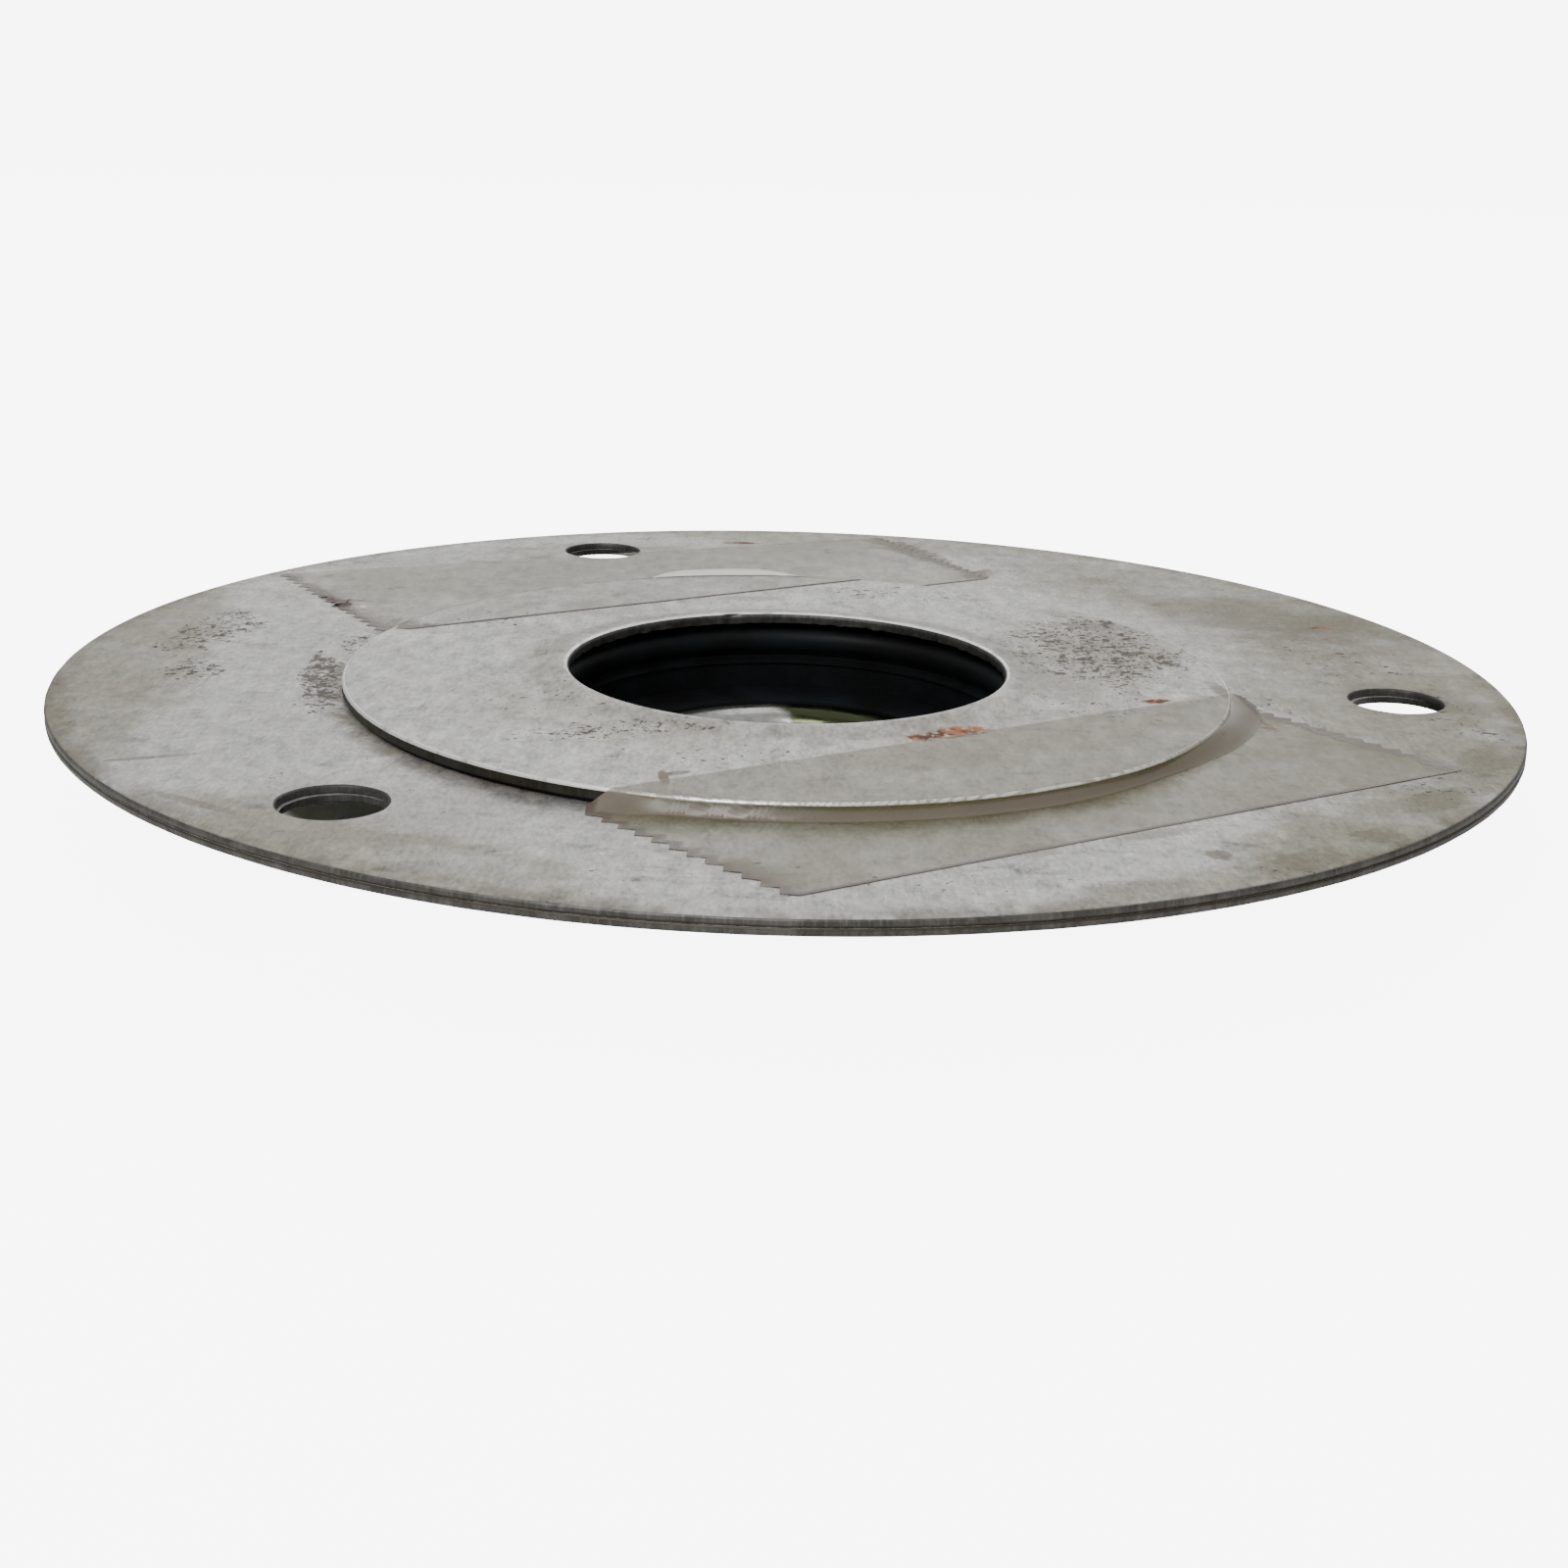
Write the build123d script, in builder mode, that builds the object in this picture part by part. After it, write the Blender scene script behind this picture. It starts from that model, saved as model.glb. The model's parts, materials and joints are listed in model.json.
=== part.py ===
"""Floating seal plate for a drain or pipe passing through a floor.

Two stacked round flange plates carry a seal that slides sideways in their middle opening.
The seal is a cover ring and a top gasket above the plates, a rubber sleeve through them, and
a bottom gasket, retaining washer, clamp band and pressed bottom ring below.  Two strips of
parcel tape hold the cover ring on the flange for handling.

Millimetres, +Z up.  The origin is on the flange axis at the foot of the bottom ring.
"""
import os
from math import cos, hypot, radians, sin

from build123d import *

os.makedirs("parts", exist_ok=True)

# ---- driving dimensions ---------------------------------------------------------------------
flange_top = 20.0            # height of the flange's top face over the foot
flange_radius = 127.0
plate_thickness = 1.2
plate_seam = 0.05            # clearance between the two plates
plate_edge_round = 0.35      # rolled-over edge left by the punch
bolt_count = 3
bolt_circle_radius = 106.8
bolt_hole_radius = 8.0
first_bolt_angle = -7.1

seal_offset = -12.5          # the seal rests this far from the flange axis, along Y
neck_radius = 46.0           # outside of the rubber sleeve where it passes the plates
float_clearance = 0.4
plate_opening_radius = neck_radius - seal_offset + float_clearance

cover_radius = 76.0
cover_thickness = 2.0
cover_height = 0.9           # underside of the cover ring over the flange
cover_opening_radius = 37.7
cover_rim_rise = 1.0         # how far the rim turns up round the opening
cover_rim_start = 44.5       # radius at which it starts to turn up
cover_edge_round = 0.3

slide_gap = 0.15             # clearance between the gaskets and the plates
top_gasket_radius = 75.0
lower_disc_radius = 74.0     # bottom gasket and retaining washer
bottom_gasket_thickness = 0.8
washer_thickness = 1.2
gasket_neck_gap = 0.1        # between the gaskets and the sleeve's neck

sleeve_wall_radius = 38.3    # inside of the sleeve, under the lip line
sleeve_recess_radius = 39.3  # inside of the sleeve between the bead and the lip line
sleeve_skirt_radius = 43.5   # outside of the sleeve's lower end
sleeve_foot = 1.0            # lower edge of the sleeve over the foot
neck_land = 1.4              # width of the sleeve's top face, under the cover ring
bead_radius = 2.6            # rounded bead at the top of the sleeve
bead_centre_radius = 40.6
bead_centre_depth = 2.0
bead_groove = 0.8            # groove between the bead and the top face
lip_line_depth = 5.6         # thin moulded line below the bead
lip_line_height = 0.3
lip_line_stand = 0.5         # how far it stands in from the wall
shoulder_radius = 49.0       # holds the retaining washer up
shoulder_height = 1.8
web_depth = 10.6             # inward web at the foot of the wall
web_thickness = 1.6
lip_tip_radius = 28.2
lip_tip_thickness = 0.5

ring_sheet = 1.2             # pressed bottom ring
ring_bore_radius = 23.5
ring_bore_foot = 1.0         # free edge of the bore's wall over the foot
ring_roll_radius = 4.2       # rolled inner rim
ring_crest_depth = 11.4
ring_wall_radius = 41.2
ring_wall_height = 7.4
press_gap = 0.05             # between pieces pressed together

band_thickness = 0.8
band_width = 4.0
band_foot = 2.5              # lower edge of the band over the foot
band_ear_length = 7.0
band_ear_height = 2.4

tape_film = 0.1
tape_gap = 0.05              # film over the steel
tape_tent = 2.0              # how far the film stands off the cover ring's foot
tooth_pitch = 3.8
tooth_depth = 1.6

# Corners of each strip on the flange, anticlockwise from the left end of its near edge.
front_strip_corners = [(2.4, -118.7), (105.6, -54.6), (77.5, -20.5), (-25.5, -84.5)]
rear_strip_corners = [(-69.5, 8.5), (42.0, 79.0), (20.0, 117.5), (-103.0, 59.5)]

# ---- heights worked out from them -----------------------------------------------------------
lower_plate_top = flange_top - plate_thickness - plate_seam
stack_underside = lower_plate_top - plate_thickness
cover_underside = flange_top + cover_height
cover_top = cover_underside + cover_thickness
bottom_gasket_top = stack_underside - slide_gap
washer_top = bottom_gasket_top - bottom_gasket_thickness
washer_underside = washer_top - washer_thickness

seal_axis = Axis((0, seal_offset, 0), (0, 0, 1))
seal_section = Plane(origin=(0, seal_offset, 0), x_dir=(1, 0, 0), z_dir=(0, -1, 0))


def finish(part, name):
    """Label a piece and write its STEP file."""
    part.label = name
    export_step(part, f"parts/{name}.step")


def flange_plate(underside, rounded_end):
    """One punched plate: outline, seal opening and bolt holes, with one outer edge rolled over.

    rounded_end is -1 for the upper edge and 0 for the lower one.
    """
    with BuildPart() as plate:
        with BuildSketch(Plane.XY.offset(underside)):
            Circle(flange_radius)
            Circle(plate_opening_radius, mode=Mode.SUBTRACT)
            with PolarLocations(bolt_circle_radius, bolt_count, start_angle=first_bolt_angle):
                Circle(bolt_hole_radius, mode=Mode.SUBTRACT)
        extrude(amount=plate_thickness)
        rims = plate.edges().filter_by(GeomType.CIRCLE).group_by(Axis.Z)[rounded_end]
        fillet(rims.sort_by(SortBy.RADIUS)[-1], plate_edge_round)
    return plate.part


def flat_ring(underside, thickness, outer, inner):
    """A plain ring about the seal axis."""
    with BuildPart() as ring:
        with BuildSketch(Plane.XY.offset(underside)):
            with Locations((0, seal_offset)):
                Circle(outer)
                Circle(inner, mode=Mode.SUBTRACT)
        extrude(amount=thickness)
    return ring.part


# ---- flange plates --------------------------------------------------------------------------
finish(flange_plate(lower_plate_top + plate_seam, -1), "upper_flange_plate")
finish(flange_plate(stack_underside, 0), "lower_flange_plate")

# ---- cover ring: flat, with its rim turned up round the opening --------------------------------
with BuildPart() as cover_ring:
    with BuildSketch(seal_section):
        with BuildLine():
            outer_low = (cover_radius, cover_underside)
            outer_high = (cover_radius, cover_top)
            bend_high = (cover_rim_start, cover_top)
            rim_high = (cover_opening_radius, cover_top + cover_rim_rise)
            rim_low = (cover_opening_radius, cover_underside + cover_rim_rise)
            bend_low = (cover_rim_start, cover_underside)
            Line(outer_low, outer_high)
            Line(outer_high, bend_high)
            TangentArc(bend_high, rim_high, tangent=(-1, 0))
            Line(rim_high, rim_low)
            TangentArc(bend_low, rim_low, tangent=(-1, 0))
            Line(bend_low, outer_low)
        make_face()
        fillet(vertices().group_by(Axis.X)[-1], cover_edge_round)
        fillet(vertices().group_by(Axis.X)[0], cover_edge_round)
    revolve(axis=seal_axis)
finish(cover_ring.part, "cover_ring")

# ---- gaskets and retaining washer ---------------------------------------------------------------
gasket_bore = neck_radius + gasket_neck_gap
top_gasket_low = flange_top + slide_gap
top_gasket_thickness = cover_underside - top_gasket_low
finish(flat_ring(top_gasket_low, top_gasket_thickness, top_gasket_radius, gasket_bore), "top_gasket")
finish(flat_ring(washer_top, bottom_gasket_thickness, lower_disc_radius, gasket_bore), "bottom_gasket")
finish(flat_ring(washer_underside, washer_thickness, lower_disc_radius, gasket_bore), "retaining_washer")


# ---- rubber sleeve ----------------------------------------------------------------------------
def bead_point(angle):
    """Point of the bead's surface, by its angle in the section."""
    along = bead_centre_radius + bead_radius * cos(radians(angle))
    return along, flange_top - bead_centre_depth + bead_radius * sin(radians(angle))


lip_line = flange_top - lip_line_depth
web_top = flange_top - web_depth
web_low = web_top - web_thickness
lip_tip_low = flange_top - ring_crest_depth + press_gap
skirt_inside = ring_wall_radius + press_gap
shoulder_top = washer_underside - press_gap
shoulder_low = washer_underside - shoulder_height
bead_start, bead_crown, bead_end = bead_point(30), bead_point(115), bead_point(225)

with BuildPart() as seal_sleeve:
    with BuildSketch(seal_section):
        with BuildLine():
            Polyline(
                (neck_radius, shoulder_top),
                (neck_radius, cover_underside),
                (neck_radius - neck_land, cover_underside),
                (bead_start[0] + bead_groove, flange_top - bead_groove),
                bead_start,
            )
            ThreePointArc(bead_start, bead_crown, bead_end)
            Polyline(
                bead_end,
                (sleeve_recess_radius, lip_line + 3 * lip_line_height),
                (sleeve_recess_radius, lip_line + lip_line_height),
                (sleeve_wall_radius - lip_line_stand, lip_line),
                (sleeve_wall_radius - lip_line_stand, lip_line - lip_line_height),
                (sleeve_wall_radius, lip_line - 2 * lip_line_height),
                (sleeve_wall_radius, web_top),
                (lip_tip_radius, lip_tip_low + lip_tip_thickness),
                (lip_tip_radius, lip_tip_low),
                (ring_wall_radius - ring_sheet, web_low),
                (skirt_inside, web_low),
                (skirt_inside, sleeve_foot),
                (sleeve_skirt_radius, sleeve_foot),
                (sleeve_skirt_radius, shoulder_low - shoulder_height),
                (shoulder_radius, shoulder_low),
                (shoulder_radius, shoulder_top),
                (neck_radius, shoulder_top),
            )
        make_face()
    revolve(axis=seal_axis)
finish(seal_sleeve.part, "seal_sleeve")

# ---- clamp band with its crimped ear ------------------------------------------------------------
band_inner = sleeve_skirt_radius + press_gap
band_outer = band_inner + band_thickness
ear_middle = (band_inner + band_outer + band_ear_height) / 2
with BuildPart() as clamp_band:
    with BuildSketch(Plane.XY.offset(band_foot)):
        with Locations((0, seal_offset)):
            Circle(band_outer)
            Circle(band_inner, mode=Mode.SUBTRACT)
        with Locations((0, seal_offset + ear_middle)):
            SlotOverall(band_ear_length, band_ear_height)
    extrude(amount=band_width)
finish(clamp_band.part, "clamp_band")

# ---- pressed bottom ring: outer wall, base, and a rolled inner rim --------------------------------
roll_radius = ring_bore_radius + ring_roll_radius
roll_height = flange_top - ring_crest_depth - ring_roll_radius
roll_inside = ring_roll_radius - ring_sheet
with BuildPart() as bottom_ring:
    with BuildSketch(seal_section):
        with BuildLine():
            Polyline(
                (roll_radius + ring_roll_radius, roll_height),
                (roll_radius + ring_roll_radius, ring_sheet),
                (ring_wall_radius - ring_sheet, ring_sheet),
                (ring_wall_radius - ring_sheet, ring_wall_height),
                (ring_wall_radius, ring_wall_height),
                (ring_wall_radius, 0),
                (roll_radius + roll_inside, 0),
                (roll_radius + roll_inside, roll_height),
            )
            RadiusArc((roll_radius - roll_inside, roll_height), (roll_radius + roll_inside, roll_height),
                      roll_inside)
            Polyline(
                (roll_radius - roll_inside, roll_height),
                (roll_radius - roll_inside, ring_bore_foot),
                (ring_bore_radius, ring_bore_foot),
                (ring_bore_radius, roll_height),
            )
            RadiusArc((ring_bore_radius, roll_height), (roll_radius + ring_roll_radius, roll_height),
                      ring_roll_radius)
        make_face()
    revolve(axis=seal_axis)
finish(bottom_ring.part, "bottom_ring")


# ---- tape strips --------------------------------------------------------------------------------
def toothed_edge(start, end):
    """Points of a toothed cut from start to end, without the end point."""
    length = hypot(end[0] - start[0], end[1] - start[1])
    along = ((end[0] - start[0]) / length, (end[1] - start[1]) / length)
    outward = (along[1], -along[0])
    teeth = round(length / tooth_pitch)
    points = []
    for tooth in range(teeth):
        valley = length * tooth / teeth
        tip = length * (tooth + 0.5) / teeth
        points.append((start[0] + along[0] * valley, start[1] + along[1] * valley))
        points.append((
            start[0] + along[0] * tip + outward[0] * tooth_depth,
            start[1] + along[1] * tip + outward[1] * tooth_depth,
        ))
    return points


def tape_strip(corners):
    """Film that lies on the cover ring, slopes off its edge and lies on the flange."""
    near_left, near_right, far_right, far_left = corners
    outline = [near_left] + toothed_edge(near_right, far_right) + [far_right]
    outline += toothed_edge(far_left, near_left)
    reach = flange_radius - seal_offset
    low = flange_top + tape_gap
    high = cover_top + tape_gap
    with BuildPart() as strip:
        with BuildSketch(seal_section):
            with BuildLine():
                Polyline(
                    (cover_rim_start, high),
                    (cover_radius + tape_film, high),
                    (cover_radius + tape_tent, low),
                    (reach, low),
                    (reach, low + tape_film),
                    (cover_radius + tape_tent + tape_film, low + tape_film),
                    (cover_radius + 2 * tape_film, high + tape_film),
                    (cover_rim_start, high + tape_film),
                    close=True,
                )
            make_face()
        revolve(axis=seal_axis)
        with BuildSketch(Plane.XY.offset(flange_top)):
            with BuildLine():
                Polyline(outline, close=True)
            make_face()
        extrude(amount=2 * cover_thickness, mode=Mode.INTERSECT)
    return strip.part


finish(tape_strip(front_strip_corners), "tape_strip_front")
finish(tape_strip(rear_strip_corners), "tape_strip_rear")
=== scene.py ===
"""Looks of a floating drain seal plate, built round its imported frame.  Metres, +Z up."""
import json
from math import atan2, cos, exp, hypot, pi, radians, sin

import bmesh
import bpy
import numpy as np
from mathutils import Euler, Matrix, Vector, noise


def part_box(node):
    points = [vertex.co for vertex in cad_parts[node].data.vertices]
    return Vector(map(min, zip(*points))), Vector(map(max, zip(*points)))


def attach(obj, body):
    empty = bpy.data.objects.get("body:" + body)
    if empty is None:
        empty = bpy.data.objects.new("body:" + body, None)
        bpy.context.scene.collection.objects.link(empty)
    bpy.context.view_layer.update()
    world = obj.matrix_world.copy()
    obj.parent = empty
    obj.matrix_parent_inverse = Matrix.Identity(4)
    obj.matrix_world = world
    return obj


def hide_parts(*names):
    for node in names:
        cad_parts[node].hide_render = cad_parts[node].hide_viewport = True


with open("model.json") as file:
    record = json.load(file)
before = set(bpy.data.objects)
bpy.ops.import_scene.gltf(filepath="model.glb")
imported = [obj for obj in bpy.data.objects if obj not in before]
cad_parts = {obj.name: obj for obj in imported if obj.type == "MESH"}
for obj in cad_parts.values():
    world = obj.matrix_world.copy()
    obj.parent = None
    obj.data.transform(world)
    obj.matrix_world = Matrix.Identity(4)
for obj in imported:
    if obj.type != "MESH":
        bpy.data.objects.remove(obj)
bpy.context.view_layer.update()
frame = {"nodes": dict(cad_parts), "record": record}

# ---- sizes from the frame -------------------------------------------------------------------------
MM = 0.001
mounts = {mount["name"]: mount for mount in frame["record"]["mounts"]}
bolt_dims = mounts["bolt_holes"]["dims"]
bolt_count = bolt_dims["count"]
bolt_circle = bolt_dims["pcd_mm"] * MM / 2
bolt_radius = bolt_dims["hole_r_mm"] * MM
first_bolt = radians(-7.1)
opening_radius = mounts["pipe_socket"]["dims"]["r_mm"] * MM

upper_low, upper_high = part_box("upper_flange_plate")
lower_low, lower_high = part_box("lower_flange_plate")
cover_low, cover_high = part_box("cover_ring")
flange_radius = upper_high.x
flange_top = upper_high.z
seam_height = (upper_low.z + lower_high.z) / 2
plate_opening = 58.9 * MM
seal_y = (cover_low.y + cover_high.y) / 2
cover_radius = cover_high.x
rim_rise = 1.0 * MM
cover_top = cover_high.z - rim_rise
rim_start = 46.5 * MM
crest_radius = opening_radius + 1.1 * MM

SEGMENTS = 512


# ---- mesh helpers ---------------------------------------------------------------------------------
def rounded(points, radii, steps):
    """The closed outline through points, with corner i rounded to radii[i] in steps."""
    outline = []
    count = len(points)
    for i, (corner, radius) in enumerate(zip(points, radii)):
        here = Vector(corner)
        before = (Vector(points[i - 1]) - here).normalized()
        after = (Vector(points[(i + 1) % count]) - here).normalized()
        half = before.angle(after) / 2
        reach = radius / np.tan(half)
        middle = here + (before + after).normalized() * (radius / sin(half))
        start = here + before * reach - middle
        end = here + after * reach - middle
        for k in range(steps + 1):
            outline.append(middle + start.slerp(end, k / steps, start) * radius)
    return outline


def between(start, end, steps):
    """Points from start to end, without the end."""
    return [Vector(start).lerp(Vector(end), k / steps) for k in range(steps)]


def mesh_object(name, vertices, faces, materials, face_materials=None, crease=35):
    """A mesh object with smooth faces and edges sharper than crease degrees kept sharp."""
    mesh = bpy.data.meshes.new(name)
    mesh.from_pydata([tuple(v) for v in vertices], [], faces)
    for material in materials:
        mesh.materials.append(material)
    if face_materials is not None:
        mesh.polygons.foreach_set("material_index", np.asarray(face_materials, np.int32))
    mesh.validate()
    mesh.shade_smooth()
    mesh.set_sharp_from_angle(angle=radians(crease))
    made = bpy.data.objects.new(name, mesh)
    bpy.context.scene.collection.objects.link(made)
    return made


def lathe(name, outline, centre_y, materials, pick, wobble, segments=SEGMENTS):
    """The closed outline of (radius, height) points turned about the vertical axis at centre_y.

    pick(radius, height, normal) chooses the material of each band of faces, and
    wobble(angle, radius, height) gives a small change of radius and height at a point.
    """
    count = len(outline)
    area = sum(a.x * b.y - b.x * a.y for a, b in zip(outline, outline[1:] + outline[:1]))
    if area < 0:
        outline = outline[::-1]
    vertices = []
    for s in range(segments):
        angle = 2 * pi * s / segments
        for radius, height in outline:
            push, lift = wobble(angle, radius, height)
            reach = radius + push
            vertices.append((reach * cos(angle), centre_y + reach * sin(angle), height + lift))
    bands = []
    for start, end in zip(outline, outline[1:] + outline[:1]):
        edge, middle = end - start, (end + start) / 2
        bands.append(pick(middle.x, middle.y, Vector((edge.y, -edge.x)).normalized()))
    faces = []
    for s in range(segments):
        here, there = s * count, (s + 1) % segments * count
        for k in range(count):
            after = (k + 1) % count
            faces.append((here + k, there + k, there + after, here + after))
    return mesh_object(name, vertices, faces, materials, bands * segments)


def apply_modifiers(piece):
    """Bakes the piece's modifiers into its mesh."""
    evaluated = piece.evaluated_get(bpy.context.evaluated_depsgraph_get())
    mesh = bpy.data.meshes.new_from_object(evaluated)
    piece.modifiers.clear()
    piece.data = mesh


def smooth(value):
    """0 below 0, 1 above 1, and eased between."""
    value = min(1.0, max(0.0, value))
    return value * value * (3 - 2 * value)


def grain(x, y, z=0.0, size=10 * MM, seed=0.0):
    """Smooth noise from -1 to 1 with features of about the given size."""
    return noise.noise(Vector((x / size, y / size, z / size + seed)))


# ---- material helpers -----------------------------------------------------------------------------
class Paint:
    """A node material being built.  Its coordinates are metres in the frame, at rest."""

    def __init__(self, name):
        self.material = bpy.data.materials.new(name)
        self.material.use_nodes = True
        self.tree = self.material.node_tree
        self.shader = self.tree.nodes["Principled BSDF"]
        self.place = self.add("ShaderNodeTexCoord").outputs["Object"]

    def add(self, kind, inputs=None, **settings):
        node = self.tree.nodes.new(kind)
        for key, value in settings.items():
            setattr(node, key, value)
        for key, value in (inputs or {}).items():
            self.feed(node.inputs[key], value)
        return node

    def feed(self, socket, value):
        """Links a socket to another one, or sets it to a plain value."""
        if isinstance(value, bpy.types.NodeSocket):
            self.tree.links.new(value, socket)
        else:
            socket.default_value = value

    def set(self, **inputs):
        """Feeds the shader's own sockets, named with _ for each space."""
        for key, value in inputs.items():
            self.feed(self.shader.inputs[key.replace("_", " ")], value)

    def math(self, operation, a, b):
        return self.add("ShaderNodeMath", {0: a, 1: b}, operation=operation).outputs[0]

    def times(self, a, b):
        return self.math("MULTIPLY", a, b)

    def plus(self, a, factor, b):
        """a times factor, plus b."""
        return self.add("ShaderNodeMath", {0: a, 1: factor, 2: b}, operation="MULTIPLY_ADD").outputs[0]

    def most(self, *values):
        """The largest of several masks."""
        found = values[0]
        for value in values[1:]:
            found = self.math("MAXIMUM", found, value)
        return found

    def ramp(self, value, low, high, start=0.0, end=1.0):
        """start at low to end at high, eased and held beyond them."""
        inputs = {"Value": value, "From Min": low, "From Max": high, "To Min": start, "To Max": end}
        return self.add("ShaderNodeMapRange", inputs, interpolation_type="SMOOTHSTEP").outputs["Result"]

    def stretched(self, scale, degrees=0.0):
        """The place turned about Z and multiplied by scale."""
        inputs = {"Vector": self.place, "Scale": scale, "Rotation": (0, 0, radians(degrees))}
        return self.add("ShaderNodeMapping", inputs).outputs["Vector"]

    def noise(self, scale, detail=2.0, roughness=0.5, distortion=0.0, place=None):
        inputs = {"Vector": place or self.place, "Scale": scale, "Detail": detail,
                  "Roughness": roughness, "Distortion": distortion}
        return self.add("ShaderNodeTexNoise", inputs).outputs["Fac"]

    def streaks(self, scale, degrees, detail, roughness):
        """Noise stretched by scale along X, Y and Z and turned about Z."""
        return self.noise(1.0, detail, roughness, place=self.stretched(scale, degrees))

    def specks(self, cells_per_metre, size, amount, place):
        """Dots up to size cells wide; more of the cells have one as amount goes from 0 to 1."""
        node = self.add("ShaderNodeTexVoronoi", {"Vector": place, "Scale": cells_per_metre})
        chance = self.add("ShaderNodeSeparateColor", {"Color": node.outputs["Color"]})
        present = self.math("LESS_THAN", chance.outputs["Red"], amount)
        radius = self.times(chance.outputs["Green"], size)
        ragged = self.times(self.noise(cells_per_metre * 3, 2.0), size * 0.9)
        edge = self.math("SUBTRACT", self.math("ADD", node.outputs["Distance"], ragged), radius)
        return self.times(self.ramp(edge, size * 0.3, size * 0.05), present)

    def mix(self, factor, a, b, blend="MIX"):
        node = self.add("ShaderNodeMix", {"Factor": factor}, data_type="RGBA", blend_type=blend)
        first, second = [socket for socket in node.inputs if socket.type == "RGBA"]
        self.feed(first, a)
        self.feed(second, b)
        return next(out for out in node.outputs if out.type == "RGBA")

    def along(self, axis):
        """One coordinate of the place: "X", "Y" or "Z"."""
        return self.add("ShaderNodeSeparateXYZ", {0: self.place}).outputs[axis]

    def uv(self, name):
        """The two coordinates of a UV map."""
        place = self.add("ShaderNodeUVMap", uv_map=name).outputs[0]
        parts = self.add("ShaderNodeSeparateXYZ", {0: place}).outputs
        return parts["X"], parts["Y"]

    def ring_distance(self, centre_x, centre_y):
        """Distance from a vertical axis, in metres."""
        node = self.add("ShaderNodeVectorMath", {0: self.place, 1: (centre_x, centre_y, 0)},
                        operation="SUBTRACT")
        flat = self.add("ShaderNodeVectorMath", {0: node.outputs[0], 1: (1, 1, 0)}, operation="MULTIPLY")
        return self.add("ShaderNodeVectorMath", {0: flat.outputs[0]}, operation="LENGTH").outputs["Value"]

    def patch(self, x, y, wide, deep, turn=0.0, ragged=0.6, soft=0.5, full=1.0):
        """full inside an uneven ellipse and 0 outside.

        x, y and the half sizes wide and deep are millimetres, and turn is degrees.  ragged breaks up
        the edge, and soft is the width of its fade, both as shares of the half size.
        """
        node = self.add("ShaderNodeMapping", {"Vector": self.place}, vector_type="TEXTURE")
        node.inputs["Location"].default_value = (x * MM, y * MM, flange_top)
        node.inputs["Rotation"].default_value = (0, 0, radians(turn))
        node.inputs["Scale"].default_value = (wide * MM, deep * MM, 1.0)
        length = self.add("ShaderNodeVectorMath", {0: node.outputs[0]}, operation="LENGTH")
        rough = self.noise(1.6 / (MM * min(wide, deep)), 3.0, 0.6)
        uneven = self.plus(rough, 2.4 * ragged, length.outputs["Value"])
        middle = 1 + 1.2 * ragged
        return self.ramp(uneven, middle + soft / 2, middle - soft / 2, 0.0, full)

    def patches(self, marks):
        """The largest of several patches, each a tuple of patch() arguments; 0 where there are none."""
        return self.most(*([self.patch(*mark) for mark in marks] or [0.0]))

    def bump(self, height, distance, strength, normal=None):
        """A normal raised by height times distance, on top of an earlier one if given."""
        node = self.add("ShaderNodeBump", {"Height": height, "Distance": distance, "Strength": strength})
        if normal is not None:
            self.feed(node.inputs["Normal"], normal)
        return node.outputs["Normal"]


def grey(value, warmth=1.0):
    """A linear grey, a little yellow where warmth is 1 and browner as it rises."""
    return (value, value * (1 - 0.012 * warmth), value * (1 - 0.07 * warmth), 1)


# ---- materials ------------------------------------------------------------------------------------
# STAIN_AND_SHADE is the brown of real stains, and also of the painted shade laid on through the grime
# masks.
STAIN_AND_SHADE = (0.150, 0.115, 0.072, 1)
PIT = (0.062, 0.047, 0.033, 1)
ORANGE_RUST = (0.36, 0.130, 0.045, 1)
DARK_RUST = (0.09, 0.028, 0.016, 1)
SEAM_DIRT_AND_SHADE = (0.045, 0.034, 0.021, 1)
TAPE_DIRT = (0.060, 0.034, 0.019, 1)
OLIVE_PAINTED_REFLECTION = (0.035, 0.042, 0.020, 1)
LINT = (0.42, 0.44, 0.44, 1)

# Pits are noise above a level: cells per metre, that level, and how far a pitted area lowers it.
PIT_LAYERS = ((420, 0.735, 0.165), (800, 0.730, 0.165), (1700, 0.72, 0.13))


def scratch_mask(paint, clouds):
    """Hairline scratches in two directions, only where the clouds are light."""
    falling = paint.streaks((40, 2600, 40), -24, 1.0, 0.4)
    rising = paint.streaks((50, 3000, 50), 37, 1.0, 0.4)
    either = paint.most(paint.ramp(falling, 0.67, 0.74), paint.ramp(rising, 0.68, 0.75))
    return paint.times(either, paint.ramp(clouds, 0.42, 0.6))


def pit_mask(paint, pits):
    """Small ragged dots of three sizes, rare all over and dense inside the given patches."""
    area = paint.patches(pits)
    dots = 0.0
    for scale, level, reach in PIT_LAYERS:
        over = paint.math("SUBTRACT", paint.noise(scale, 3.0, 0.68), paint.plus(area, -reach, level))
        dots = paint.most(paint.ramp(over, 0.0, 0.035), dots)
    return dots


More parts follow.
